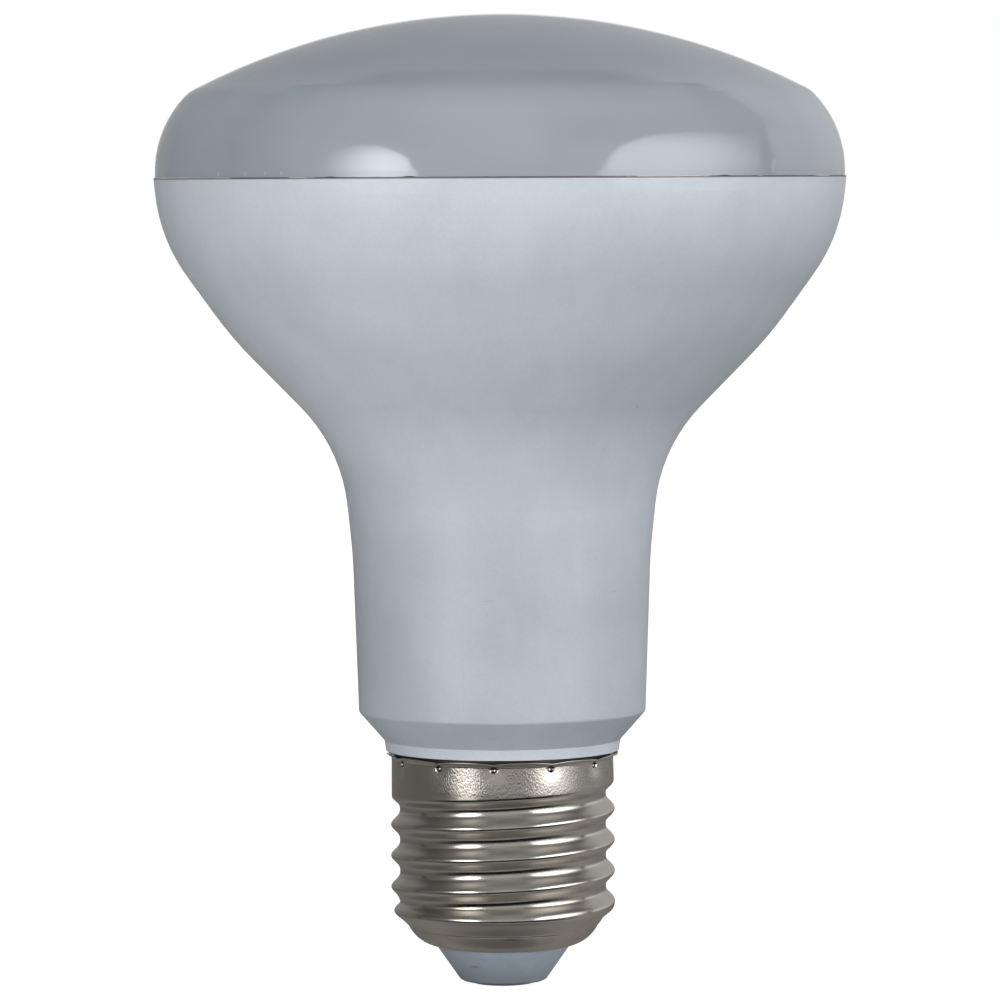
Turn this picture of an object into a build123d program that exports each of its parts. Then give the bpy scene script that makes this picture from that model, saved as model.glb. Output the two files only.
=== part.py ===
import os
from math import ceil, cos, radians, sin

from build123d import *

# Reflector lamp on a 27 mm screw cap. It stands on its centre contact: the origin is the middle of the
# contact's tip, +Z runs up the axis to the lens, and -Y is the side that faces the viewer.
# All sizes are millimetres and degrees.

# Centre contact, a disc with a stem
contact_diameter = 7.4
contact_height = 0.3
contact_chamfer = 0.12
stem_diameter = 3.0

# Insulator, a plastic cone moulded round the cap's lip
insulator_tip_diameter = 9.9
insulator_tip_chamfer = 0.2
insulator_height = 4.15
insulator_seat_diameter = 15.7
insulator_throat_diameter = 14.2
insulator_flange_width = 1.0
insulator_flange_height = 1.8

# Screw cap, rolled from thin nickel-plated sheet
cap_wall = 0.35
cap_lip_thickness = 0.6
cap_bowl_diameter = 21.9
cap_bowl_height = 2.2
cap_bowl_bulge = 0.45
thread_diameter = 26.06
thread_depth = 1.04
thread_pitch = 3.629
thread_length = 17.0
thread_lead_in = 2.8
thread_run_out = 1.7
thread_start_angle = 84.5
sections_per_turn = 8
skirt_diameter = 25.86
skirt_length = 3.2

# Crimps, punched into the skirt just below its rim to hold the cap on the housing
crimp_count = 12
crimp_angle = 265.4
crimp_diameter = 0.8
crimp_depth = 0.2
crimp_drop = 0.85

# Housing, one plastic moulding from the spigot in the cap up to the rim
spigot_length = 3.1
collar_gap = 0.4
collar_diameter = 27.5
collar_taper = 0.2
collar_height = 1.2
collar_chamfer = 0.15
shoulder_height = 3.3
neck_diameter = 33.32
neck_round = 0.5
neck_length = 18.6
neck_widening = 0.64
neck_blend = 60.0
throat_length = 12.1
throat_widening = 1.94
throat_blend = 19.0
flare_length = 12.7
flare_inset = 8.95
flare_blend = 45.0
side_length = 11.45
side_inset = 0.7
side_blend = 20.0
rim_length = 7.05
rim_diameter = 80.0
rim_wall = 1.7
recess_depth = 4.5

# Lens, a milky moulded cover that plugs into the rim
lens_step = 0.15
lens_rise = 18.8
lens_land = 0.7
lens_shoulder_inset = 4.05
lens_shoulder_rise = 9.97
lens_shoulder_round = 4.5
lens_wall = 1.8
lens_flange_height = 2.0
lens_plug_depth = 4.0
seam_chamfer = 0.14

# Radial clearances of the seats
plug_clearance = 0.1
throat_clearance = 0.05

# Heights of the seats, stacked up from the contact's tip
cap_base = contact_height + insulator_height
thread_base = cap_base + cap_bowl_height
thread_top = thread_base + thread_length
cap_rim = thread_top + skirt_length
collar_base = cap_rim + collar_gap
collar_top = collar_base + collar_height
neck_base = collar_top + shoulder_height
neck_top = neck_base + neck_length
throat_top = neck_top + throat_length
flare_top = throat_top + flare_length
side_top = flare_top + side_length
seam = side_top + rim_length
flange_base = cap_base + cap_lip_thickness
flange_top = flange_base + insulator_flange_height

# Radii that pieces share
stem_bore_radius = stem_diameter / 2 + throat_clearance
seat_radius = insulator_seat_diameter / 2
throat_radius = insulator_throat_diameter / 2
flange_radius = throat_radius + insulator_flange_width
cap_bowl_radius = cap_bowl_diameter / 2
crest_radius = thread_diameter / 2
root_radius = crest_radius - thread_depth
skirt_radius = skirt_diameter / 2
skirt_bore_radius = skirt_radius - cap_wall
crimp_ball_radius = (crimp_diameter**2 / 4 + crimp_depth**2) / (2 * crimp_depth)
spigot_radius = skirt_bore_radius - plug_clearance
collar_radius = collar_diameter / 2
neck_radius = neck_diameter / 2
rim_radius = rim_diameter / 2
recess_radius = rim_radius - rim_wall
plug_radius = recess_radius - plug_clearance
plug_bore_radius = plug_radius - lens_wall
lens_radius = rim_radius - lens_step

# Contact: the disc that meets the lamp holder and the stem pressed up through the insulator
with BuildPart() as contact:
    with BuildSketch(Plane.XY):
        Circle(contact_diameter / 2)
    extrude(amount=contact_height)
    chamfer(contact.edges().group_by(Axis.Z)[0], contact_chamfer)
    with BuildSketch(Plane.XY.offset(contact_height)):
        Circle(stem_diameter / 2)
    extrude(amount=flange_top - contact_height)

# Insulator: cone outside, throat through the cap's lip, flange inside the cap
with BuildPart() as insulator:
    with BuildSketch(Plane.XZ) as insulator_section:
        tip_corner = (insulator_tip_diameter / 2, contact_height)
        with BuildLine():
            Polyline(
                (stem_bore_radius, contact_height),
                tip_corner,
                (seat_radius, cap_base),
                (throat_radius, cap_base),
                (throat_radius, flange_base),
                (flange_radius, flange_base),
                (flange_radius, flange_top),
                (stem_bore_radius, flange_top),
                close=True,
            )
        make_face()
        chamfer(insulator_section.vertices().sort_by_distance(tip_corner)[0], insulator_tip_chamfer)
    revolve(axis=Axis.Z)


def thread_section(height):
    """Radius, shift and heading of the cap's round section at a height above the thread's lower end.
    A circle set off the axis, whose heading turns as it climbs, leaves a rounded single-start thread.
    The thread grows out of the bowl below and runs out into the plain skirt above."""
    fade = min(1.0, (thread_length - height) / thread_run_out)
    fade = fade * fade * (3 - 2 * fade)
    growth = min(1.0, height / thread_lead_in)
    growth = growth * (2 - growth)
    crest = cap_bowl_radius + growth * (skirt_radius + fade * (crest_radius - skirt_radius) - cap_bowl_radius)
    root = cap_bowl_radius + growth * (skirt_radius + fade * (root_radius - skirt_radius) - cap_bowl_radius)
    heading = radians(thread_start_angle + 360 * height / thread_pitch)
    return (crest + root) / 2, (crest - root) / 2, heading


# Screw cap: bowl, rolled thread and crimped skirt outside, a plain bore inside
with BuildPart() as screw_shell:
    section_count = ceil(sections_per_turn * thread_length / thread_pitch)
    for index in range(section_count + 1):
        height = thread_length * index / section_count
        section_radius, shift, heading = thread_section(height)
        with BuildSketch(Plane.XY.offset(thread_base + height)):
            with Locations((shift * cos(heading), shift * sin(heading))):
                Circle(section_radius)
    loft(ruled=True, clean=False)
    with BuildSketch(Plane.XY.offset(thread_top)):
        Circle(skirt_radius)
    extrude(amount=skirt_length, clean=False)
    with BuildSketch(Plane.XZ):
        with BuildLine():
            SagittaArc((seat_radius, cap_base), (cap_bowl_radius, thread_base), -cap_bowl_bulge)
            Polyline((cap_bowl_radius, thread_base), (0, thread_base), (0, cap_base), (seat_radius, cap_base))
        make_face()
    revolve(axis=Axis.Z, clean=False)
    with BuildSketch(Plane.XZ):
        with BuildLine():
            Polyline(
                (0, cap_base),
                (throat_radius + throat_clearance, cap_base),
                (throat_radius + throat_clearance, flange_base),
                (flange_radius + throat_clearance, flange_base),
                (cap_bowl_radius - cap_wall, thread_base),
                (root_radius - cap_wall, thread_base + thread_lead_in),
                (root_radius - cap_wall, thread_top - thread_run_out),
                (skirt_bore_radius, thread_top),
                (skirt_bore_radius, cap_rim),
                (0, cap_rim),
                close=True,
            )
        make_face()
    revolve(axis=Axis.Z, mode=Mode.SUBTRACT, clean=False)
    with Locations((0, 0, cap_rim - crimp_drop)):
        with PolarLocations(skirt_radius - crimp_depth + crimp_ball_radius, crimp_count, crimp_angle):
            Sphere(crimp_ball_radius, mode=Mode.SUBTRACT)

# Housing: spigot inside the cap, collar, sloped shoulder, neck, flared bowl and the lens recess
with BuildPart() as housing:
    with BuildSketch(Plane.XZ) as housing_section:
        rim_corner = (rim_radius, seam)
        neck_corner = (neck_radius, neck_base)
        collar_corner = (collar_radius - collar_taper, collar_base)
        with BuildLine():
            FilletPolyline(
                neck_corner,
                (neck_radius + neck_widening, neck_top),
                (neck_radius + throat_widening, throat_top),
                (rim_radius - flare_inset, flare_top),
                (rim_radius - side_inset, side_top),
                rim_corner,
                radius=[neck_blend, throat_blend, flare_blend, side_blend],
            )
            Polyline(
                rim_corner,
                (recess_radius, seam),
                (recess_radius, seam - recess_depth),
                (0, seam - recess_depth),
                (0, cap_rim - spigot_length),
                (spigot_radius, cap_rim - spigot_length),
                (spigot_radius, collar_base),
                collar_corner,
                (collar_radius, collar_top),
                neck_corner,
            )
        make_face()
        corners = housing_section.vertices()
        fillet(corners.sort_by_distance(neck_corner)[0], neck_round)
        chamfer(corners.sort_by_distance(collar_corner)[0], collar_chamfer)
        chamfer(corners.sort_by_distance(rim_corner)[0], seam_chamfer)
    revolve(axis=Axis.Z)

# Lens: a shallow dome that turns down over a rounded shoulder to the seam, hollow, with a plug below
with BuildPart() as lens:
    with BuildSketch(Plane.XZ) as lens_section:
        foot_corner = (lens_radius, seam)
        land_top = (lens_radius, seam + lens_land)
        shoulder = (lens_radius - lens_shoulder_inset, seam + lens_shoulder_rise)
        apex = (0, seam + lens_rise)
        with BuildLine():
            Polyline(apex, (0, seam), foot_corner, land_top)
            TangentArc(land_top, shoulder, tangent=(0, 1))
            TangentArc(apex, shoulder, tangent=(1, 0))
        make_face()
        corners = lens_section.vertices()
        fillet(corners.sort_by_distance(shoulder)[0], lens_shoulder_round)
        chamfer(corners.sort_by_distance(foot_corner)[0], seam_chamfer)
        flange_corner = (lens_radius - lens_wall, seam + lens_flange_height)
        inner_shoulder = (shoulder[0] - lens_wall, shoulder[1] - lens_wall / 2)
        inner_apex = (0, seam + lens_rise - lens_wall)
        with BuildLine():
            Polyline(
                inner_apex,
                (0, seam),
                (plug_bore_radius, seam),
                (plug_bore_radius, seam + lens_flange_height),
                flange_corner,
            )
            TangentArc(flange_corner, inner_shoulder, tangent=(0, 1))
            TangentArc(inner_apex, inner_shoulder, tangent=(1, 0))
        make_face(mode=Mode.SUBTRACT)
        with Locations((plug_radius, seam)):
            Rectangle(lens_wall, lens_plug_depth, align=(Align.MAX, Align.MAX))
    revolve(axis=Axis.Z)

os.makedirs("parts", exist_ok=True)
pieces = {
    "contact": contact,
    "insulator": insulator,
    "screw_shell": screw_shell,
    "housing": housing,
    "lens": lens,
}
for name, piece in pieces.items():
    piece.part.label = name
    export_step(piece.part, f"parts/{name}.step")
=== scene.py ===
from math import atan2, cos, pi, radians, sin

import bpy
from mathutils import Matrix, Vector


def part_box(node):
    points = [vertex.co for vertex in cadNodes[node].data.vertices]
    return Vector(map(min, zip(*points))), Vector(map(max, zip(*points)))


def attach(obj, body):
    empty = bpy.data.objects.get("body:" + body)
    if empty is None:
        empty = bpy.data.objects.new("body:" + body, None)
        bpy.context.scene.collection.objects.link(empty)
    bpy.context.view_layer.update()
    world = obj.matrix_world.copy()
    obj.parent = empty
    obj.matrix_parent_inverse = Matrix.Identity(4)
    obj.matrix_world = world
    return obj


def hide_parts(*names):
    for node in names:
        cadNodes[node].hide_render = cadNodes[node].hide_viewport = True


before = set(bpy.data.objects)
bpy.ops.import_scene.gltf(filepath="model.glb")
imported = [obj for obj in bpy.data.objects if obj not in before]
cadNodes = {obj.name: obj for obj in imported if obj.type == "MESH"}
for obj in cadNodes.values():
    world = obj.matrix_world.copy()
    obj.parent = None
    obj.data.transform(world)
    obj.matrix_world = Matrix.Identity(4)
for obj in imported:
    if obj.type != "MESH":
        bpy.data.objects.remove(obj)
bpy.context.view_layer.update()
print("frame loaded:", ", ".join(sorted(cadNodes)))

mm = 0.001
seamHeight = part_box("housing")[1].z / mm
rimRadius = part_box("housing")[1].x / mm
lensRadius = rimRadius - 0.15
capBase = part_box("screw_shell")[0].z / mm
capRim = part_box("screw_shell")[1].z / mm


# A number that travels through a node tree, so that a rule can be written as a formula
class Field:
    def __init__(self, tree, socket):
        self.tree = tree
        self.socket = socket

    def calc(self, operation, *others):
        node = self.tree.nodes.new("ShaderNodeMath")
        node.operation = operation
        for slot, value in zip(node.inputs, (self, *others)):
            connect(self.tree, slot, value)
        return Field(self.tree, node.outputs[0])

    def __add__(self, other):
        return self.calc("ADD", other)

    def __sub__(self, other):
        return self.calc("SUBTRACT", other)

    def __mul__(self, other):
        return self.calc("MULTIPLY", other)

    def __truediv__(self, other):
        return self.calc("DIVIDE", other)

    def __pow__(self, other):
        return self.calc("POWER", other)

    def atMost(self, other):
        return self.calc("MINIMUM", other)

    def atLeast(self, other):
        return self.calc("MAXIMUM", other)

    def below(self, other):
        return self.calc("LESS_THAN", other)

    def ramp(self, low, high, toLow=0.0, toHigh=1.0):      # smooth step between two levels
        node = self.tree.nodes.new("ShaderNodeMapRange")
        node.interpolation_type = "SMOOTHSTEP"
        for slot, value in zip(node.inputs, (self, low, high, toLow, toHigh)):
            connect(self.tree, slot, value)
        return Field(self.tree, node.outputs[0])

    def between(self, low, high):                          # mix of two numbers by this one
        return self * high + (self * -1.0 + 1.0) * low


def connect(tree, slot, value):
    if isinstance(value, Field):
        tree.links.new(value.socket, slot)
    elif isinstance(value, bpy.types.NodeSocket):
        tree.links.new(value, slot)
    else:
        slot.default_value = value


def addNode(tree, kind, inputs=None, **settings):
    node = tree.nodes.new(kind)
    for name, value in settings.items():
        setattr(node, name, value)
    for name, value in (inputs or {}).items():
        connect(tree, node.inputs[name], value)
    return node


def axesOf(tree, vector):                                  # a vector's X, Y and Z
    split = addNode(tree, "ShaderNodeSeparateXYZ", {"Vector": vector})
    return [Field(tree, split.outputs[axis]) for axis in "XYZ"]


def turnFromFront(axes):                                   # degrees round Z, to the right of the front
    return axes[0].calc("ARCTAN2", axes[1] * -1.0) * (180 / pi)


# Shared parts of the materials: every pattern is laid out in millimetres on the object
def place(tree, stretch=(1, 1, 1)):
    coords = addNode(tree, "ShaderNodeTexCoord")
    scale = tuple(s / mm for s in stretch)
    mapped = addNode(tree, "ShaderNodeMapping", {"Vector": coords.outputs["Object"], "Scale": scale})
    return mapped.outputs[0]


def noise(tree, grain, stretch=(1, 1, 1), detail=2.0, roughness=0.5):
    node = addNode(tree, "ShaderNodeTexNoise", {
        "Vector": place(tree, stretch), "Scale": 1 / grain, "Detail": detail, "Roughness": roughness})
    return Field(tree, node.outputs["Fac"])


def specks(tree, cell, size, share):
    cells = addNode(tree, "ShaderNodeTexVoronoi", {"Vector": place(tree), "Scale": 1 / cell})
    lucky = Field(tree, addNode(tree, "ShaderNodeSeparateColor", {
        "Color": cells.outputs["Color"]}).outputs[0]).below(share)
    return Field(tree, cells.outputs["Distance"]).ramp(size / cell, 0.4 * size / cell) * lucky


def mark(tree, centre, size, soft):                        # soft patch about a point, 1 in its middle
    offset = addNode(tree, "ShaderNodeVectorMath", {0: place(tree), 1: centre}, operation="SUBTRACT")
    scaled = addNode(tree, "ShaderNodeVectorMath", {0: offset.outputs[0], 1: size}, operation="DIVIDE")
    reach = addNode(tree, "ShaderNodeVectorMath", {0: scaled.outputs[0]}, operation="LENGTH")
    return Field(tree, reach.outputs["Value"]).ramp(1.0, 1.0 - soft)


def tint(tree, under, over, amount, blend="MIX"):
    node = addNode(tree, "ShaderNodeMix", data_type="RGBA", blend_type=blend)
    connect(tree, node.inputs["Factor"], amount)
    for name, value in (("A", under), ("B", over)):
        slot = next(s for s in node.inputs if s.name == name and s.type == "RGBA")
        connect(tree, slot, value if isinstance(value, bpy.types.NodeSocket) else (*value, 1))
    return next(s for s in node.outputs if s.type == "RGBA")


def bump(tree, height, distance, under=None):
    node = addNode(tree, "ShaderNodeBump", {"Height": height, "Distance": distance * mm})
    if under is not None:
        connect(tree, node.inputs["Normal"], under)
    return node.outputs["Normal"]


def newMaterial(name, **values):
    material = bpy.data.materials.new(name)
    material.use_nodes = True
    shader = material.node_tree.nodes["Principled BSDF"]
    for slot, value in values.items():
        shader.inputs[slot].default_value = value
    return material, material.node_tree, shader


def dress(node, material):
    cadNodes[node].data.materials.clear()
    cadNodes[node].data.materials.append(material)


# Housing: satin moulded plastic with faint flow marks, specks and handling stains, lighter toward the rim
# as painted light and darker under the seam and in the gap under the collar as painted shade
housingLook = {
    "color": (0.442, 0.490, 0.542),
    # painted light: the rim's colour is lighter because the upper part is lit more
    "rimLitColor": (0.590, 0.640, 0.695),
    "collarColor": (0.585, 0.637, 0.695),
    "rimFade": (52.0, 22.0),          # below the seam, from the neck's colour to the rim's
    "collarEdge": (1.75, 1.55),       # above the cap's rim
    "shadeShare": 0.93,
    "gritShare": 0.975,
    "stain": (0.30, 0.29, 0.27),
    # painted shade for the seam's gap and for the gap under the collar
    "paintedShade": (0.030, 0.028, 0.026),
    "seamShade": (0.16, 0.12),        # below the seam
    "gapShade": (0.43, 0.37),         # above the cap's rim, inside the gap under the collar
    "gapReach": (13.55, 13.35),
    "roughness": (0.30, 0.43),
    "mottleGrain": 14.0,
    "cloudGrain": 3.6,
    "wornGrain": 2.4,
    "stainGrain": 0.6,
    "gritGrain": 0.3,
    "skinGrain": 0.22,
    "mottleHeight": 0.25,
    "skinHeight": 0.012,
    "specks": (5.0, 0.16, 0.16),      # cell, size, share of the cells that have one
    # centre, with its height above the cap's rim, and reach
    "stains": (((-1.0, -15.3, 3.2), (2.6, 1.6, 0.5)), ((13.5, -8.5, 3.7), (1.2, 1.6, 0.4))),
    "scratches": (((-1.7, -17.3, 18.9), (1.3, 1.0, 0.10)), ((12.9, -11.6, 19.6), (0.5, 1.0, 0.25))),
}


def raised(centre, base):                                  # a point whose height is given from a base
    return centre[0], centre[1], centre[2] + base


def housingPlastic(look):
    material, tree, shader = newMaterial("housingPlastic", IOR=1.5)
    mottle = noise(tree, look["mottleGrain"], detail=4.0)
    x, y, height = axesOf(tree, place(tree))
    across = (x ** 2.0 + y ** 2.0).calc("SQRT")
    belowSeam = height * -1.0 + seamHeight
    aboveCap = height - capRim
    # painted light: lighter from the neck up to the rim
    color = tint(tree, look["color"], look["rimLitColor"], belowSeam.ramp(*look["rimFade"]))
    color = tint(tree, color, look["collarColor"], aboveCap.ramp(*look["collarEdge"]))
    color = tint(tree, color, (look["shadeShare"],) * 3, mottle.ramp(0.35, 0.7), "MULTIPLY")
    cloud = noise(tree, look["cloudGrain"], detail=5.0, roughness=0.6)
    color = tint(tree, color, (look["gritShare"],) * 3, cloud.ramp(0.35, 0.65), "MULTIPLY")
    grit = noise(tree, look["gritGrain"], detail=2.0)
    color = tint(tree, color, (look["gritShare"],) * 3, grit.ramp(0.4, 0.6), "MULTIPLY")
    # painted shade: darker just below the seam and inside the gap under the collar
    color = tint(tree, color, look["paintedShade"], belowSeam.ramp(*look["seamShade"]) * 0.75)
    gapShadeMask = aboveCap.ramp(*look["gapShade"]) * across.ramp(*look["gapReach"])
    color = tint(tree, color, look["paintedShade"], gapShadeMask)
    for centre, size in look["stains"]:
        patchy = noise(tree, look["stainGrain"], stretch=(0.5, 0.5, 3), detail=3.0).ramp(0.45, 0.7)
        stain = mark(tree, raised(centre, capRim), size, 0.9) * patchy
        color = tint(tree, color, look["stain"], stain * 0.5)
    for centre, size in look["scratches"]:
        scratch = mark(tree, raised(centre, capRim), size, 0.8)
        color = tint(tree, color, look["stain"], scratch * 0.35)
    color = tint(tree, color, look["stain"], specks(tree, *look["specks"]) * 0.7)
    connect(tree, shader.inputs["Base Color"], color)
    worn = noise(tree, look["wornGrain"], detail=5.0, roughness=0.65)
    connect(tree, shader.inputs["Roughness"], worn.between(*look["roughness"]))
    skin = noise(tree, look["skinGrain"], detail=2.0)
    waves = bump(tree, mottle, look["mottleHeight"])
    connect(tree, shader.inputs["Normal"], bump(tree, skin, look["skinHeight"], under=waves))
    return material


# Lens: milky polycarbonate with a moulded gloss, its dome darkened as painted shade
lensLook = {
    "color": (0.306, 0.347, 0.392),
    # painted shade: the dome is darker because it faces away from the front light
    "domeShadedColor": (0.207, 0.244, 0.286),
    "domeFade": (7.0, 14.0),          # above the seam, from the wall's colour to the dome's
    "shadeShare": 0.92,
    "fleck": (0.55, 0.57, 0.58),
    "roughness": (0.07, 0.11),
    "ior": 1.58,
    "mottleGrain": 16.0,
    "hazeGrain": 1.5,
    "skinGrain": 0.5,
    "stripeGrain": 0.26,
    "mottleHeight": 0.10,
    "skinHeight": 0.002,
    "specks": (3.0, 0.07, 0.12),      # cell, size, share of the cells that have one
    "gateAngle": 49.7,                # degrees to the right of the front
    "gateRise": 1.1,                  # above the seam
    "gateSize": (0.75, 1.0, 1.0),
    "tickAngles": (-51.8, -45.0, -40.5, -37.1),
    "tickRise": 0.5,
    "tickSize": (0.14, 0.3, 0.42),
}


def onLens(angle, height):                                 # a point of the lens's edge, above the seam
    turn = radians(angle)
    return lensRadius * sin(turn), -lensRadius * cos(turn), seamHeight + height


def lensPlastic(look):
    material, tree, shader = newMaterial("lensPlastic", IOR=look["ior"])
    mottle = noise(tree, look["mottleGrain"], detail=3.0)
    aboveSeam = axesOf(tree, place(tree))[2] - seamHeight
    # painted shade: darker from the wall up onto the dome
    color = tint(tree, look["color"], look["domeShadedColor"], aboveSeam.ramp(*look["domeFade"]))
    color = tint(tree, color, (look["shadeShare"],) * 3, mottle.ramp(0.35, 0.7), "MULTIPLY")
    color = tint(tree, color, look["fleck"], specks(tree, *look["specks"]) * 0.5)
    stripes = noise(tree, look["stripeGrain"], stretch=(1, 1, 0.12), detail=1.0).ramp(0.4, 0.6)
    gate = mark(tree, onLens(look["gateAngle"], look["gateRise"]), look["gateSize"], 0.4)
    color = tint(tree, color, look["fleck"], gate * stripes * 0.22)
    for angle in look["tickAngles"]:
        tick = mark(tree, onLens(angle, look["tickRise"]), look["tickSize"], 0.7)
        color = tint(tree, color, look["fleck"], tick * 0.35)
    connect(tree, shader.inputs["Base Color"], color)
    haze = noise(tree, look["hazeGrain"], detail=4.0)
    connect(tree, shader.inputs["Roughness"], haze.between(*look["roughness"]))
    skin = noise(tree, look["skinGrain"])
    waves = bump(tree, mottle, look["mottleHeight"])
    connect(tree, shader.inputs["Normal"], bump(tree, skin, look["skinHeight"], under=waves))
    return material


# Screw cap metal: nickel plate over a drawn sheet, wrinkled on the skirt and brownish low down, with
# painted shade in the punched dimples and on the thread's upper flanks
nickelLook = {
    "color": (0.55, 0.515, 0.47),
    "brown": (0.44, 0.38, 0.31),
    # real dirt for the specks, and painted shade in the punched dimples
    "dirtAndPitShade": (0.05, 0.045, 0.04),
    "brownReach": (5.4, 0.4),         # above the cap's foot
    "patchGrain": 3.0,
    "specks": (1.6, 0.07, 0.10),      # cell, size, share of the cells that have one
    "blotch": (0.16, 0.18, 0.22),
    "blotchSpot": (0.9, -10.3, 1.95),  # its height is above the cap's foot
    "blotchSize": (1.7, 1.5, 0.42),
    "roughness": (0.13, 0.21),
    "polishGrain": 0.8,
    "dullRoughness": 0.34,            # on faces that look down
    "dullFacing": (-0.40, -0.62),
    "flankShade": (0.76, 0.76, 0.77),       # painted shade on the thread's upper flanks, which are also made rougher
    "filmRoughness": 0.30,
    "filmFacing": (0.16, 0.42),
    "filmTop": (-2.4, -3.0),          # from the cap's rim
    "wrinkleGrain": 0.14,
    "wrinkleHeight": 0.022,
    "wrinkleFoot": (-4.3, -3.3),      # from the cap's rim
    "pebbleGrain": 0.25,
    "pebbleHeight": 0.004,
}


def nickelPlate(look):
    material, tree, shader = newMaterial("nickelPlate", Metallic=1.0)
    height = axesOf(tree, place(tree))[2]
    fromRim = height - capRim
    patchy = noise(tree, look["patchGrain"], detail=4.0)
    browned = (height - capBase).ramp(*look["brownReach"]) * patchy.ramp(0.2, 0.6) * 0.8
    color = tint(tree, look["color"], look["brown"], browned)
    color = tint(tree, color, look["brown"], patchy.ramp(0.5, 0.8) * 0.35)
    color = tint(tree, color, look["dirtAndPitShade"], specks(tree, *look["specks"]))
    blotch = mark(tree, raised(look["blotchSpot"], capBase), look["blotchSize"], 0.9)
    color = tint(tree, color, look["blotch"], blotch * 0.75)
    # painted shade: the punched dimples are darkened with the same colour as the dirt specks
    punched = Field(tree, addNode(tree, "ShaderNodeAttribute", attribute_name="punched").outputs["Fac"])
    color = tint(tree, color, look["dirtAndPitShade"], punched.ramp(0.05, 0.5) * punched.ramp(0.98, 0.85) * 0.85)
    facing = axesOf(tree, addNode(tree, "ShaderNodeTexCoord").outputs["Normal"])[2]
    # flanks that face up are rougher and darkened with painted shade
    dulledAndShaded = facing.ramp(*look["filmFacing"]) * fromRim.ramp(*look["filmTop"])
    color = tint(tree, color, look["flankShade"], dulledAndShaded, "MULTIPLY")
    connect(tree, shader.inputs["Base Color"], color)
    polish = noise(tree, look["polishGrain"], detail=4.0).between(*look["roughness"])
    polish = facing.ramp(*look["dullFacing"]).between(polish, look["dullRoughness"])
    connect(tree, shader.inputs["Roughness"], dulledAndShaded.between(polish, look["filmRoughness"]))
    wrinkles = noise(tree, look["wrinkleGrain"], stretch=(1, 1, 0.5), detail=1.5)
    pebbles = noise(tree, look["pebbleGrain"], detail=1.0)
    skirt = bump(tree, wrinkles * fromRim.ramp(*look["wrinkleFoot"]), look["wrinkleHeight"])
    connect(tree, shader.inputs["Normal"], bump(tree, pebbles, look["pebbleHeight"], under=skirt))
    return material


# Insulator and contact: the insulator has painted light in a band under the cap and painted shade toward
# its tip, the contact's brass is darkened as painted shade
insulatorLook = {
    "color": (0.312, 0.370, 0.428),
    # painted shade: the insulator darkens toward its tip
    "tip": (0.212, 0.257, 0.302),
    # painted light: a lighter band just under the cap's foot
    "litBand": (0.325, 0.385, 0.445),
    "bandEdge": (-0.8, -0.45),        # from the cap's foot
    "shadeShare": 0.92,
    # real smudge colour, also used as painted shade along the bottom edge
    "smudgeAndShade": (0.12, 0.13, 0.13),
    "smudgeSpot": (-3.3, -5.5, -1.95),  # its height is from the cap's foot
    "smudgeSize": (0.9, 1.0, 0.25),
    "tipSmudge": (0.62, 0.42),
    "roughness": 0.32,
    "mottleGrain": 2.0,
    "skinGrain": 0.3,
    "skinHeight": 0.01,
}
contactLook = {
    # brass darkened with painted shade, the contact faces the floor
    "color": (0.24, 0.18, 0.11),
    "dull": (0.09, 0.075, 0.06),
    "roughness": (0.25, 0.5),
    "wornGrain": 0.9,
    "skinGrain": 0.2,
    "skinHeight": 0.01,
}


def insulatorPlastic(look):
    material, tree, shader = newMaterial("insulatorPlastic", Roughness=look["roughness"], IOR=1.5)
    mottle = noise(tree, look["mottleGrain"], detail=4.0)
    height = axesOf(tree, place(tree))[2]
    # painted shade: darker from the cap's foot down to the tip
    color = tint(tree, look["tip"], look["color"], height.ramp(0.0, capBase))
    # painted light: the band under the cap's foot is lighter
    color = tint(tree, color, look["litBand"], (height - capBase).ramp(*look["bandEdge"]))
    color = tint(tree, color, (look["shadeShare"],) * 3, mottle.ramp(0.35, 0.65), "MULTIPLY")
    # painted shade: the smudge colour darkens the bottom edge next to the contact
    color = tint(tree, color, look["smudgeAndShade"], height.ramp(*look["tipSmudge"]) * 0.8)
    smudgeAndShade = mark(tree, raised(look["smudgeSpot"], capBase), look["smudgeSize"], 0.8)
    color = tint(tree, color, look["smudgeAndShade"], smudgeAndShade * 0.7)
    connect(tree, shader.inputs["Base Color"], color)
    skin = noise(tree, look["skinGrain"])
    connect(tree, shader.inputs["Normal"], bump(tree, skin, look["skinHeight"]))
    return material


def contactMetal(look):
    material, tree, shader = newMaterial("contactMetal", Metallic=1.0)
    worn = noise(tree, look["wornGrain"], detail=5.0)
    color = tint(tree, look["color"], look["dull"], worn.ramp(0.4, 0.65))
    connect(tree, shader.inputs["Base Color"], color)
    connect(tree, shader.inputs["Roughness"], worn.between(*look["roughness"]))
    skin = noise(tree, look["skinGrain"])
    connect(tree, shader.inputs["Normal"], bump(tree, skin, look["skinHeight"]))
    return material


dress("housing", housingPlastic(housingLook))
dress("lens", lensPlastic(lensLook))
dress("insulator", insulatorPlastic(insulatorLook))
dress("contact", contactMetal(contactLook))
nickel = nickelPlate(nickelLook)
print("materials made")


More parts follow.
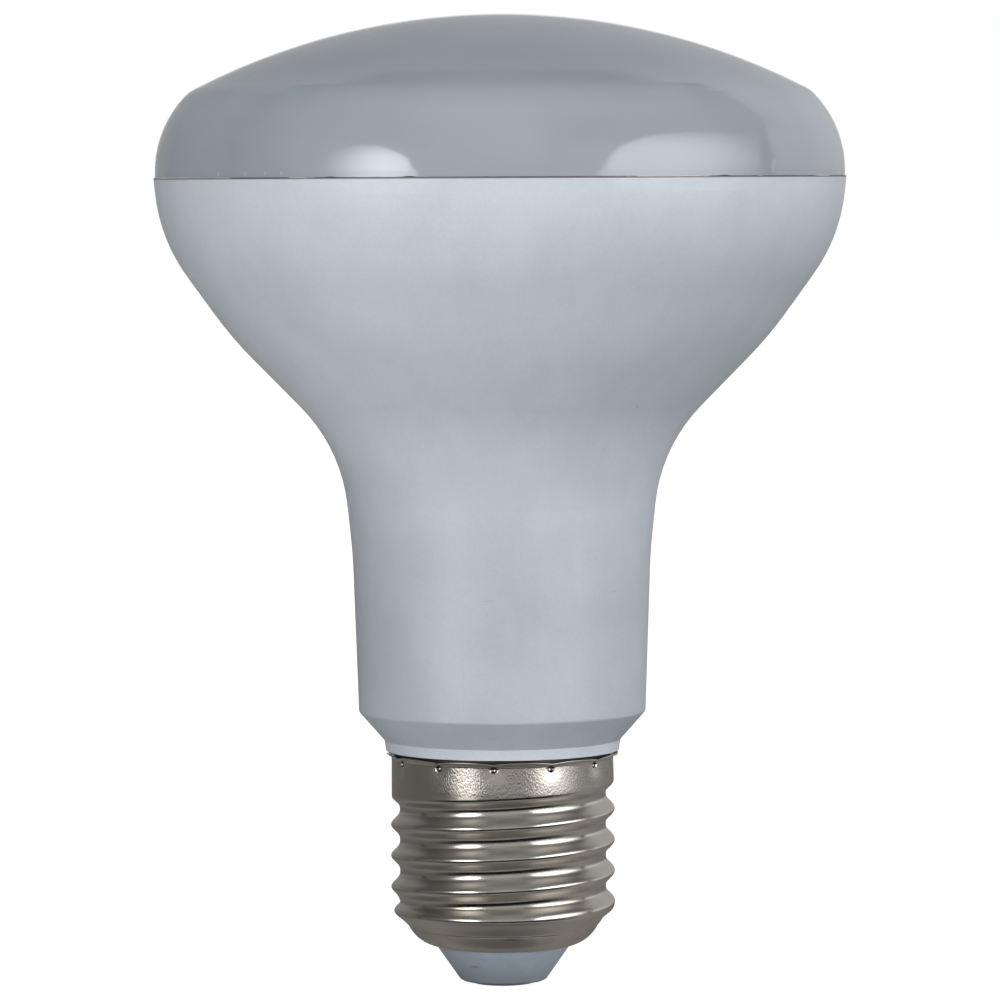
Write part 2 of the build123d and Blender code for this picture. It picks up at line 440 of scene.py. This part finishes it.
# Screw shell: a section of rows is spun round the axis, the thread and the crimps follow rules
shellSizes = {                        # millimetres, degrees and turns
    "Columns": 396,
    "Column Crowding": 0.72,
    "Crest Radius": 13.03,
    "Root Radius": 11.99,
    "Skirt Radius": 12.93,
    "Thread Pitch": 3.629,
    "Crest Sharpness": 1.45,
    "Last Crest Sharpness": 0.45,
    "Last Crest Reach": 1.9,          # as a share of the lead in
    "Groove Top": capRim - 5.01,
    "Groove Start Angle": 150.0,
    "Groove Edge": 0.09,
    "Run Out Turns": 0.32,
    "Bowl Radius": 10.95,
    "Lead In Base": capBase + 2.2,
    "Lead In Length": 2.2,
    "Groove Calm": 0.7,
    "Crimp Count": 12,
    "Crimp Angle": 265.4,
    "Crimp Height": capRim - 0.75,
    "Dimple Radius": 0.40,
    "Dimple Depth": 0.30,
    "Funnel Width": 1.1,
    "Funnel Depth": 0.10,
    "Push Foot": -2.2,                # from the crimps' height, like the next three
    "Push Top": -1.0,
    "Dip Foot": 0.2,
    "Dip Top": 0.75,
    "Rim Dip": 0.26,
    "Rim Dip Width": 1.3,
}
shellSection = {
    "wall": 0.35,
    "throatRadius": 7.15,
    "throatEdge": ((0.0, 0.25), (0.06, 0.03)),  # radius and height from the throat's foot
    "seatRadius": 7.85,
    "bowlRadius": shellSizes["Bowl Radius"],
    "bowlTop": capBase + 2.12,
    "bowlBulge": 0.45,
    "bowlRows": 22,
    "bowlFloor": ((1.0, 0.6), (0.0, 0.55)),     # inside, as the throat's edge
    "ledgeRadius": 10.98,
    "threadBase": capBase + 2.25,
    "threadTop": capRim - 2.8,
    "threadStep": 0.15,
    "innerStep": 0.9,
    "skirtStep": 0.2,
    "innerTop": capRim - 0.25,
    "innerSkirtStep": 0.16,
    "rimLift": 0.15,
    "crimpBase": capRim - 1.6,
    "crimpStep": 0.06,
    # radius from the skirt and height from the lifted rim
    "lip": ((0.0, -0.66), (0.05, -0.52), (0.17, -0.38), (0.36, -0.25), (0.52, -0.16), (0.58, -0.09),
            (0.56, -0.02), (0.44, 0.0), (0.22, -0.08), (-0.08, -0.20), (-0.35, -0.34)),
}


def steps(low, high, size):
    count = max(1, round(abs(high - low) / size))
    return [low + (high - low) * i / count for i in range(count)]


def bowlArc(start, end, bulge, count):                     # arc from start to end that bows outwards
    rows = []
    chord = Vector(end) - Vector(start)
    side = Vector((chord.y, -chord.x)).normalized()
    for i in range(count):
        t = i / count
        rows.append(Vector(start) + chord * t + side * bulge * 4 * t * (1 - t))
    return [(p.x, p.y) for p in rows]


def sectionRows(s, skirtRadius):                           # radius, height, inset, threaded or not
    wall = s["wall"]
    outer = [(s["throatRadius"] + dr, capBase + dz, 0, 0) for dr, dz in s["throatEdge"]]
    seat = (s["seatRadius"], capBase)
    bowl = bowlArc(seat, (s["bowlRadius"], s["bowlTop"]), s["bowlBulge"], s["bowlRows"])
    outer += [(r, z, 0, 0) for r, z in bowl]
    outer += [(s["bowlRadius"], s["bowlTop"], 0, 0)]
    outer += [(s["ledgeRadius"], s["threadBase"] - 0.05, 0, 0)]
    outer += [(0, z, 0, 1) for z in steps(s["threadBase"], s["threadTop"], s["threadStep"])]
    rim = capRim + s["rimLift"]
    outer += [(skirtRadius, z, 0, 0) for z in steps(s["threadTop"], s["crimpBase"], s["skirtStep"])]
    outer += [(skirtRadius, z, 0, 0) for z in steps(s["crimpBase"], rim + s["lip"][0][1], s["crimpStep"])]
    outer += [(skirtRadius + dr, rim + dz, 0, 0) for dr, dz in s["lip"]]
    skirtHeights = steps(s["innerTop"], s["threadTop"], s["innerSkirtStep"])
    inner = [(skirtRadius - wall, z, 0, 0) for z in skirtHeights]
    inner += [(0, z, wall, 1) for z in steps(s["threadTop"], s["threadBase"] + 0.4, s["innerStep"])]
    inner += [(r - wall, z + 0.2, 0, 0) for r, z in reversed(bowl[6::3])]
    inner += [(s["throatRadius"] + dr, capBase + dz, 0, 0) for dr, dz in s["bowlFloor"]]
    return outer + inner


def sectionMesh(rows):
    mesh = bpy.data.meshes.new("shellSection")
    mesh.from_pydata([(r, 0, z) for r, z, inset, threaded in rows], [], [])
    for name, column in (("inset", 2), ("threaded", 3)):
        layer = mesh.attributes.new(name, "FLOAT", "POINT")
        layer.data.foreach_set("value", [float(row[column]) for row in rows])
    return mesh


def newTree(name, sizes):
    tree = bpy.data.node_groups.new(name, "GeometryNodeTree")
    tree.interface.new_socket("Geometry", in_out="INPUT", socket_type="NodeSocketGeometry")
    for label, value in sizes.items():
        kind = "NodeSocketInt" if isinstance(value, int) else "NodeSocketFloat"
        tree.interface.new_socket(label, in_out="INPUT", socket_type=kind)
    tree.interface.new_socket("Material", in_out="INPUT", socket_type="NodeSocketMaterial")
    tree.interface.new_socket("Geometry", in_out="OUTPUT", socket_type="NodeSocketGeometry")
    source = addNode(tree, "NodeGroupInput")
    return tree, source, {label: Field(tree, source.outputs[label]) for label in sizes}


def closeTree(tree, source, geometry):                     # every tree ends in these nodes
    real = addNode(tree, "GeometryNodeRealizeInstances", {"Geometry": geometry})
    smooth = addNode(tree, "GeometryNodeSetShadeSmooth", {"Geometry": real.outputs[0]})
    painted = addNode(tree, "GeometryNodeSetMaterial", {
        "Geometry": smooth.outputs[0], "Material": source.outputs["Material"]})
    addNode(tree, "NodeGroupOutput", {"Geometry": painted.outputs[0]})


def grow(name, base, tree, sizes, material):               # runs a tree on a mesh and keeps a plain mesh
    piece = bpy.data.objects.new(name, base)
    bpy.context.scene.collection.objects.link(piece)
    modifier = piece.modifiers.new("grow", "NODES")
    modifier.node_group = tree
    ids = {s.name: s.identifier for s in tree.interface.items_tree if s.in_out == "INPUT"}
    for label, value in sizes.items():
        modifier[ids[label]] = value
    modifier[ids["Material"]] = material
    depsgraph = bpy.context.evaluated_depsgraph_get()
    mesh = bpy.data.meshes.new_from_object(piece.evaluated_get(depsgraph), depsgraph=depsgraph)
    mesh.name = name
    piece.modifiers.remove(modifier)
    piece.data = mesh
    print(name, "made with", len(mesh.polygons), "faces")
    return piece


def shellTree(sizes):
    tree, source, size = newTree("screwShellTree", sizes)
    section = source.outputs["Geometry"]
    count = Field(tree, addNode(tree, "GeometryNodeAttributeDomainSize", {
        "Geometry": section}).outputs["Point Count"])
    grid = addNode(tree, "GeometryNodeMeshGrid", {
        "Size X": 1.0, "Size Y": 1.0, "Vertices X": size["Columns"] + 1, "Vertices Y": count + 1})
    index = Field(tree, addNode(tree, "GeometryNodeInputIndex").outputs[0])
    column = (index / (count + 1)).calc("FLOOR")
    row = (index - column * (count + 1)).calc("FLOORED_MODULO", count)

    def sampled(value, kind):
        node = addNode(tree, "GeometryNodeSampleIndex", {"Geometry": section, "Index": row}, data_type=kind)
        connect(tree, next(s for s in node.inputs if s.name == "Value" and s.enabled), value)
        return next(s for s in node.outputs if s.enabled)

    def attribute(name):
        node = addNode(tree, "GeometryNodeInputNamedAttribute", {"Name": name}, data_type="FLOAT")
        return Field(tree, sampled(node.outputs[0], "FLOAT"))

    position = addNode(tree, "GeometryNodeInputPosition").outputs[0]
    spot = axesOf(tree, sampled(position, "FLOAT_VECTOR"))
    rowRadius = spot[0]
    height = spot[2]

    # Columns crowd together at the crimps
    turn = column / size["Columns"] * (2 * pi)
    crowd = (turn * size["Crimp Count"]).calc("SINE") * size["Column Crowding"] / size["Crimp Count"]
    angle = turn - crowd + size["Crimp Angle"] * (pi / 180)

    # Rolled thread: one groove that climbs to the right, dies out in the skirt and starts out of the bowl
    climbed = (angle / (2 * pi) - size["Groove Start Angle"] / 360).calc("FRACT")
    depthTurns = climbed + (size["Groove Top"] - height) / size["Thread Pitch"]
    rolled = ((depthTurns - size["Groove Edge"]) / (size["Groove Edge"] * -1.0 + 0.5) * 0.5).atLeast(0.0)
    rolled = depthTurns.below(0.5).between(depthTurns, rolled)
    wave = ((rolled * (2 * pi)).calc("COSINE") + 1.0) / 2
    leadIn = size["Lead In Length"]
    lastCrest = (height - size["Lead In Base"]).ramp(leadIn * size["Last Crest Reach"], leadIn)
    wave = wave ** lastCrest.between(size["Crest Sharpness"], size["Last Crest Sharpness"])
    dying = climbed.ramp(1.0, size["Run Out Turns"] * -1.0 + 1.0)
    firstTurn = depthTurns.below(1.0)
    strength = firstTurn.between(1.0, dying)
    ridge = strength.between(1.0, wave)
    share = ((height - size["Lead In Base"]) / leadIn).atLeast(0.0).atMost(1.0)
    calm = share.ramp(0.9, 0.2) * size["Groove Calm"]
    ridge = calm.between(ridge, 0.25)
    outerRadius = depthTurns.ramp(0.2, 1.0).between(size["Skirt Radius"], size["Crest Radius"])
    threadRadius = size["Root Radius"] + ridge * (outerRadius - size["Root Radius"])
    growth = share * 1.35 + share * share * 0.30 - share * share * share * 0.65   # quick, then eases off
    threadRadius = size["Bowl Radius"] + growth * (threadRadius - size["Bowl Radius"]) - attribute("inset")
    radius = attribute("threaded").between(rowRadius, threadRadius)

    # Crimps: a punched dimple in a funnel that pulls the rim down
    sector = (angle - size["Crimp Angle"] * (pi / 180)) / (2 * pi) * size["Crimp Count"]
    aside = (sector - sector.calc("ROUND")) / size["Crimp Count"] * (2 * pi) * size["Skirt Radius"]
    above = height - size["Crimp Height"]
    reach = (aside * aside + above * above).calc("SQRT")
    ball = ((reach / size["Dimple Radius"]) ** 2.0 * -1.0 + 1.0).atLeast(0.0).calc("SQRT")
    lower = above.atMost(0.0)
    funnel = ((aside * aside + lower * lower) / (size["Funnel Width"] ** 2.0) * -1.0).calc("EXPONENT")
    nearRim = above.ramp(size["Push Foot"], size["Push Top"])
    push = (ball * size["Dimple Depth"] + funnel * size["Funnel Depth"]) * nearRim
    dip = (aside.calc("ABSOLUTE") / size["Rim Dip Width"] * -1.0).calc("EXPONENT") * size["Rim Dip"]
    drop = dip * above.ramp(size["Dip Foot"], size["Dip Top"])
    radius = radius - push
    height = height - drop

    across = addNode(tree, "ShaderNodeCombineXYZ", {
        "X": radius * angle.calc("COSINE"), "Y": radius * angle.calc("SINE"), "Z": height})
    scaled = addNode(tree, "ShaderNodeVectorMath", {0: across.outputs[0], "Scale": mm}, operation="SCALE")
    spun = addNode(tree, "GeometryNodeSetPosition", {
        "Geometry": grid.outputs["Mesh"], "Position": scaled.outputs[0]})
    punched = addNode(tree, "GeometryNodeStoreNamedAttribute", {
        "Geometry": spun.outputs[0], "Name": "punched"}, data_type="FLOAT", domain="POINT")
    connect(tree, next(s for s in punched.inputs if s.name == "Value" and s.enabled), ball)
    closed = addNode(tree, "GeometryNodeMergeByDistance", {
        "Geometry": punched.outputs[0], "Distance": 1e-6})
    closeTree(tree, source, closed.outputs[0])
    return tree


shellRows = sectionRows(shellSection, shellSizes["Skirt Radius"])
screwShell = grow("screwShell", sectionMesh(shellRows), shellTree(shellSizes), shellSizes, nickel)
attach(screwShell, "root")
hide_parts("screw_shell")


# Seam flash: a thin bead of plastic squeezed out between lens and housing, thicker and torn in places,
# painted dark as the seam's shade except for cream patches
flashSizes = {                        # millimetres and degrees
    "Ring Points": 900,
    "Bead Points": 8,
    "Ring Radius": rimRadius - 0.17,
    "Height": seamHeight + 0.01,
    "Bead": 0.055,
    "Bead Spread": 0.06,
    "Least Bead": 0.02,
    "Tear Scale": 0.55,
    "Thick Bead": 0.09,
    "Thick Angle": -74.0,
    "Thick Width": 15.0,
    "Burr": 0.10,
    "Burr Width": 0.9,
    "Burr Angle 1": -27.8,
    "Burr Angle 2": -14.4,
    "Burr Angle 3": 38.3,
}
flashLook = {
    "cream": (0.60, 0.56, 0.48),
    # the dark colour is painted shade of the seam's gap
    "paintedShade": (0.045, 0.042, 0.040),
    "roughness": 0.5,
    "patchGrain": 6.0,
    "creamAngle": -74.0,              # degrees to the right of the front
    "creamWidth": (17.0, 13.0),
}


def flashPlastic(look):
    material, tree, shader = newMaterial("flashPlastic", Roughness=look["roughness"], IOR=1.5)
    turn = turnFromFront(axesOf(tree, place(tree)))
    patches = noise(tree, look["patchGrain"], detail=4.0).ramp(0.53, 0.60)
    clean = (turn - look["creamAngle"]).calc("ABSOLUTE").ramp(*look["creamWidth"])
    # painted shade: the bead is dark like the seam's gap, cream only in patches and near the clean zone
    color = tint(tree, look["paintedShade"], look["cream"], patches.atLeast(clean))
    connect(tree, shader.inputs["Base Color"], color)
    return material


def flashTree(sizes):
    tree, source, size = newTree("seamFlashTree", sizes)
    ring = addNode(tree, "GeometryNodeCurvePrimitiveCircle", {
        "Resolution": size["Ring Points"], "Radius": size["Ring Radius"]})
    spot = addNode(tree, "GeometryNodeInputPosition").outputs[0]
    turn = turnFromFront(axesOf(tree, spot))
    rough = Field(tree, addNode(tree, "ShaderNodeTexNoise", {
        "Vector": spot, "Scale": size["Tear Scale"], "Detail": 4.0}).outputs[0])
    bead = size["Bead"] + (rough - 0.5) * size["Bead Spread"]
    width = size["Thick Width"]
    thick = (turn - size["Thick Angle"]).calc("ABSOLUTE").ramp(width, width * 0.7)
    bead = bead + thick * size["Thick Bead"] * rough
    for number in (1, 2, 3):
        off = (turn - size[f"Burr Angle {number}"]) / size["Burr Width"]
        bead = bead + (off * off * -1.0).calc("EXPONENT") * size["Burr"]
    bead = bead.atLeast(size["Least Bead"])
    profile = addNode(tree, "GeometryNodeCurvePrimitiveCircle", {
        "Resolution": size["Bead Points"], "Radius": 1.0})
    swept = addNode(tree, "GeometryNodeCurveToMesh", {
        "Curve": ring.outputs[0], "Profile Curve": profile.outputs[0], "Scale": bead})
    lift = addNode(tree, "ShaderNodeCombineXYZ", {"Z": size["Height"]})
    lifted = addNode(tree, "GeometryNodeTransform", {
        "Geometry": swept.outputs[0], "Translation": lift.outputs[0]})
    scaled = addNode(tree, "GeometryNodeTransform", {"Geometry": lifted.outputs[0], "Scale": (mm, mm, mm)})
    closeTree(tree, source, scaled.outputs[0])
    return tree


flashBase = bpy.data.meshes.new("flashBase")
seamFlash = grow("seamFlash", flashBase, flashTree(flashSizes), flashSizes, flashPlastic(flashLook))
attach(seamFlash, "root")


# Stage: a pale floor in a studio whose fill lights the lamp and whose mirror is what shines in it
studio = {
    "floorSize": 12.0,
    "floorColor": (0.70, 0.13),       # at the left and at the right of the lamp
    "floorBlend": (-0.02, 0.10),
    "floorFront": 0.20,               # extra in front of the lamp and to its left
    "floorFrontReach": (-0.03, -0.15),
    "floorFrontSide": (0.08, -0.02),
    "floorGlow": 0.93,
    "floorBright": 0.30,
    "fill": {"left": 0.03, "right": 1.38, "front": 2.00, "back": 0.45, "bottom": 0.30, "top": 0.30},
    "mirror": {"left": 0.17, "right": 0.36, "front": 0.52, "back": 0.18, "bottom": 0.42, "top": 0.45},
    "backdrop": (0.985, 0.995),       # straight behind the lamp a reflection sees the white background
    "backWall": (0.02, 0.58),         # extra behind the lamp, at the left and at the right
    "archFoot": 0.18,                 # how far behind the lamp the wall's edge runs at the sides
    "archRise": 0.27,                 # and how much further in the middle
    "archPower": 3.0,
    "archCrown": 0.25,                # step further back near the middle
    "archCrownEdge": (0.58, 0.20),
    "archDip": 0.07,                  # small bend forward in the middle
    "archDipWidth": 0.12,
    "backEdge": (0.0, 0.04),          # from the arch backwards
    "backFoot": (-0.12, 0.05),
    "backShadow": 0.85,               # share that the wall's dark edge takes away
    "shadowEdge": (-0.09, -0.02),
    "shadowFoot": (-0.10, -0.04),
    "crownShadow": 0.12,              # what is left of that edge high up
    "crownHeight": (0.60, 0.76),
    "coveLevel": 0.10,                # dim zone above each soft box
    "coveFoot": (0.38, 0.46),
    "coveTop": (0.70, 0.90),
    "coveAside": (0.15, 0.40),
    "coveBack": (0.38, 0.45),         # how far behind it reaches, at the right and at the left
    "coveSoft": 0.15,
    "gapLevel": 0.005,                # dark gap between the soft boxes and the table
    "gapTop": (-0.14, -0.18),
    "gapFoot": (-0.66, -0.80),
    "gapBack": (0.15, -0.65),         # it lies in front of the lamp only
    "underShare": 0.36,               # share of the table's level straight below the lamp
    "underEdge": (-0.80, -0.97),
}


def seesWhite(tree, path):                                 # rays that go from the eye to the background
    straight = Field(tree, path.outputs["Is Camera Ray"])
    return straight.atLeast(Field(tree, path.outputs["Is Transmission Ray"]))


def floorMaterial(s):
    material = bpy.data.materials.new("paleFloor")
    material.use_nodes = True
    tree = material.node_tree
    tree.nodes.remove(tree.nodes["Principled BSDF"])
    seen = seesWhite(tree, addNode(tree, "ShaderNodeLightPath"))
    spot = axesOf(tree, addNode(tree, "ShaderNodeTexCoord").outputs["Object"])
    front = spot[1].ramp(*s["floorFrontReach"]) * spot[0].ramp(*s["floorFrontSide"]) * s["floorFront"]
    shade = spot[0].ramp(*s["floorBlend"], *s["floorColor"]) + front
    plain = addNode(tree, "ShaderNodeBsdfDiffuse", {"Color": shade})
    bright = addNode(tree, "ShaderNodeBsdfDiffuse", {"Color": (s["floorBright"],) * 3 + (1,)})
    glow = addNode(tree, "ShaderNodeEmission", {"Strength": s["floorGlow"]})
    shown = addNode(tree, "ShaderNodeAddShader", {0: bright.outputs[0], 1: glow.outputs[0]})
    mixed = addNode(tree, "ShaderNodeMixShader", {"Fac": seen, 1: plain.outputs[0], 2: shown.outputs[0]})
    connect(tree, tree.nodes["Material Output"].inputs["Surface"], mixed.outputs[0])
    return material


def makeFloor(s):
    half = s["floorSize"] / 2
    mesh = bpy.data.meshes.new("floor")
    corners = [(-half, -half, 0), (half, -half, 0), (half, half, 0), (-half, half, 0)]
    mesh.from_pydata(corners, [], [(0, 1, 2, 3)])
    mesh.materials.append(floorMaterial(s))
    floor = bpy.data.objects.new("floor", mesh)
    floor.visible_glossy = False      # reflections see the studio's own table level instead
    bpy.context.scene.collection.objects.link(floor)


def roomLevel(axes, levels):                               # blends six levels, one for each way to look
    ways = (("left", "right"), ("front", "back"), ("bottom", "top"))
    terms = []
    for along, (low, high) in zip(axes, ways):
        terms.append(along * along * along.calc("GREATER_THAN", 0.0).between(levels[low], levels[high]))
    return terms[0] + terms[1] + terms[2]


def makeWorld(s):
    world = bpy.data.worlds.new("studio")
    bpy.context.scene.world = world
    world.use_nodes = True
    tree = world.node_tree
    axes = axesOf(tree, addNode(tree, "ShaderNodeTexCoord").outputs["Generated"])
    x, y, z = axes
    path = addNode(tree, "ShaderNodeLightPath")
    mirror = roomLevel(axes, s["mirror"]) * z.ramp(*s["underEdge"], 1.0, s["underShare"])
    atLeft = x.below(0.0)
    aside = x.calc("ABSOLUTE")
    dip = ((aside / s["archDipWidth"]) ** 2.0 * -1.0).calc("EXPONENT") * s["archDip"]
    arch = ((aside ** s["archPower"]) * -1.0 + 1.0) * s["archRise"] + s["archFoot"] - dip
    behind = y - arch - aside.ramp(*s["archCrownEdge"]) * s["archCrown"]
    wall = ((x + 1.0) / 2).between(*s["backWall"]) * z.ramp(*s["backFoot"])
    edge = behind.ramp(*s["backEdge"])
    shadow = behind.ramp(*s["shadowEdge"]) * (edge * -1.0 + 1.0) * z.ramp(*s["shadowFoot"])
    shadow = shadow * z.ramp(*s["crownHeight"], 1.0, s["crownShadow"])
    mirror = mirror * (shadow * -s["backShadow"] + 1.0) + edge * wall
    cove = z.ramp(*s["coveFoot"]) * z.ramp(*reversed(s["coveTop"]))
    limit = atLeft.between(*s["coveBack"])
    cove = cove * aside.ramp(*s["coveAside"]) * y.ramp(limit + s["coveSoft"], limit - s["coveSoft"])
    mirror = cove.between(mirror, s["coveLevel"])
    gap = z.ramp(*s["gapTop"]) * z.ramp(*reversed(s["gapFoot"]))
    gap = gap * y.ramp(*s["gapBack"])
    mirror = gap.between(mirror, s["gapLevel"])
    glossy = Field(tree, path.outputs["Is Glossy Ray"])
    level = glossy.between(roomLevel(axes, s["fill"]), mirror)
    room = tree.nodes["Background"]
    connect(tree, room.inputs["Strength"], level)
    room.inputs["Color"].default_value = (1, 1, 1, 1)
    white = addNode(tree, "ShaderNodeBackground", {"Color": (1, 1, 1, 1), "Strength": 1.0})
    seen = seesWhite(tree, path).atLeast(glossy * y.ramp(*s["backdrop"]))
    mixed = addNode(tree, "ShaderNodeMixShader", {"Fac": seen, 1: room.outputs[0], 2: white.outputs[0]})
    connect(tree, tree.nodes["World Output"].inputs["Surface"], mixed.outputs[0])


makeFloor(studio)
makeWorld(studio)
print("floor and studio made")


# Soft boxes, placed round the lamp as seen from the camera: azimuth to the right, elevation above the seam.
# A box glows most at its core and fades to nothing at its reach (aside, up, down), as shares of its size.
softBoxes = {
    "leftBox": {
        "azimuth": -43, "elevation": -9, "distance": 0.60, "width": 0.40, "height": 0.78, "radiance": 7.4,
        "core": (0.66, 0.714), "reach": (0.66, 0.45, 0.366), "plateau": 0.0, "corner": 2.0, "lean": -0.15,
    },
    "rightBox": {
        "azimuth": 62, "elevation": -3, "distance": 0.62, "width": 0.76, "height": 0.836, "radiance": 3.9,
        "core": (0.33, 0.68), "reach": (0.80, 0.50, 0.405), "plateau": 0.2, "corner": 4.0, "lean": 0.35,
    },
}
# Fill lamps light the surfaces softly and don't show in them
fillLamps = {
    "fillLeft": {
        "azimuth": -42, "elevation": 10, "distance": 0.70, "width": 0.4, "height": 0.5, "radiance": 0.60},
    "fillFront": {
        "azimuth": -5, "elevation": 9, "distance": 0.75, "width": 0.5, "height": 0.3, "radiance": 1.75},
    "fillRight": {
        "azimuth": 35, "elevation": 38, "distance": 0.70, "width": 0.4, "height": 0.4, "radiance": 0.42},
    "fillFarRight": {
        "azimuth": 78, "elevation": 38, "distance": 0.70, "width": 0.4, "height": 0.4, "radiance": 0.70},
    "fillBackRight": {
        "azimuth": 115, "elevation": 5, "distance": 0.70, "width": 0.5, "height": 0.5, "radiance": 1.3},
    "fillHigh": {
        "azimuth": -8, "elevation": 48, "distance": 0.80, "width": 0.6, "height": 0.6, "radiance": 0.5},
}


def boxGlow(tree, box):                                    # brightness over the box, 1 at its core
    spot = addNode(tree, "ShaderNodeNewGeometry").outputs["Parametric"]
    u, v = axesOf(tree, spot)[:2]
    aside = (u - box["core"][0]) / box["reach"][0]
    off = v - box["core"][1]
    above = off.atLeast(0.0) / box["reach"][1] + off.atMost(0.0) / box["reach"][2]
    glow = (aside * aside + above * above).calc("SQRT").ramp(1.0, box["plateau"])
    rise = (v - 0.5) * 2.0
    side = (u - 0.5) * 2.0 - rise * box["lean"]
    power = box["corner"]
    rim = (side.calc("ABSOLUTE") ** power + rise.calc("ABSOLUTE") ** power) ** (1 / power)
    return glow * rim.ramp(1.0, 0.95)


def makeLamp(name, box, shines):
    data = bpy.data.lights.new(name, "AREA")
    data.shape = "RECTANGLE" if shines else "ELLIPSE"
    data.size = box["width"]
    data.size_y = box["height"]
    area = box["width"] * box["height"] * (1 if shines else pi / 4)
    data.energy = box["radiance"] * pi * area
    if shines:
        data.use_nodes = True
        tree = data.node_tree
        connect(tree, tree.nodes["Emission"].inputs["Strength"], boxGlow(tree, box))
    lamp = bpy.data.objects.new(name, data)
    around = radians(box["azimuth"])
    up = radians(box["elevation"])
    aim = Vector((0, 0, seamHeight * mm))
    outward = Vector((sin(around) * cos(up), -cos(around) * cos(up), sin(up)))
    lamp.location = aim + outward * box["distance"]
    lamp.rotation_mode = "QUATERNION"
    lamp.rotation_quaternion = outward.to_track_quat("Z", "Y")
    lamp.visible_camera = False
    lamp.visible_diffuse = not shines
    lamp.visible_glossy = shines
    bpy.context.scene.collection.objects.link(lamp)


for lampName, lampSizes in softBoxes.items():
    makeLamp(lampName, lampSizes, True)
for lampName, lampSizes in fillLamps.items():
    makeLamp(lampName, lampSizes, False)
print("lamps made")


# Camera: level with the seam, tipped down to the middle of the picture
cameraView = {
    "distance": 0.640,
    "pixelsPerMetre": 8633.0,         # at the lamp's axis
    "horizonRow": 177.0,
    "axisColumn": 501.4,
    "pictureSize": 1000,
    "roll": -0.26,
    "sensorWidth": 36.0,
    "clip": (0.01, 50.0),
}


def makeCamera(view):
    data = bpy.data.cameras.new("camera")
    camera = bpy.data.objects.new("camera", data)
    focalPixels = view["distance"] * view["pixelsPerMetre"]
    middle = view["pictureSize"] / 2
    tilt = atan2(middle - view["horizonRow"], focalPixels)
    data.sensor_fit = "HORIZONTAL"
    data.sensor_width = view["sensorWidth"]
    data.lens = focalPixels * data.sensor_width / view["pictureSize"]
    data.clip_start, data.clip_end = view["clip"]
    aside = (middle - view["axisColumn"]) / view["pixelsPerMetre"]
    camera.location = (aside, -view["distance"], seamHeight * mm)
    camera.rotation_mode = "XYZ"
    camera.rotation_euler = (pi / 2 - tilt, 0, 0)
    camera.rotation_euler.rotate_axis("Z", radians(view["roll"]))
    bpy.context.scene.collection.objects.link(camera)
    bpy.context.scene.camera = camera


makeCamera(cameraView)
bpy.context.scene.view_settings.view_transform = "Standard"
print("camera set")
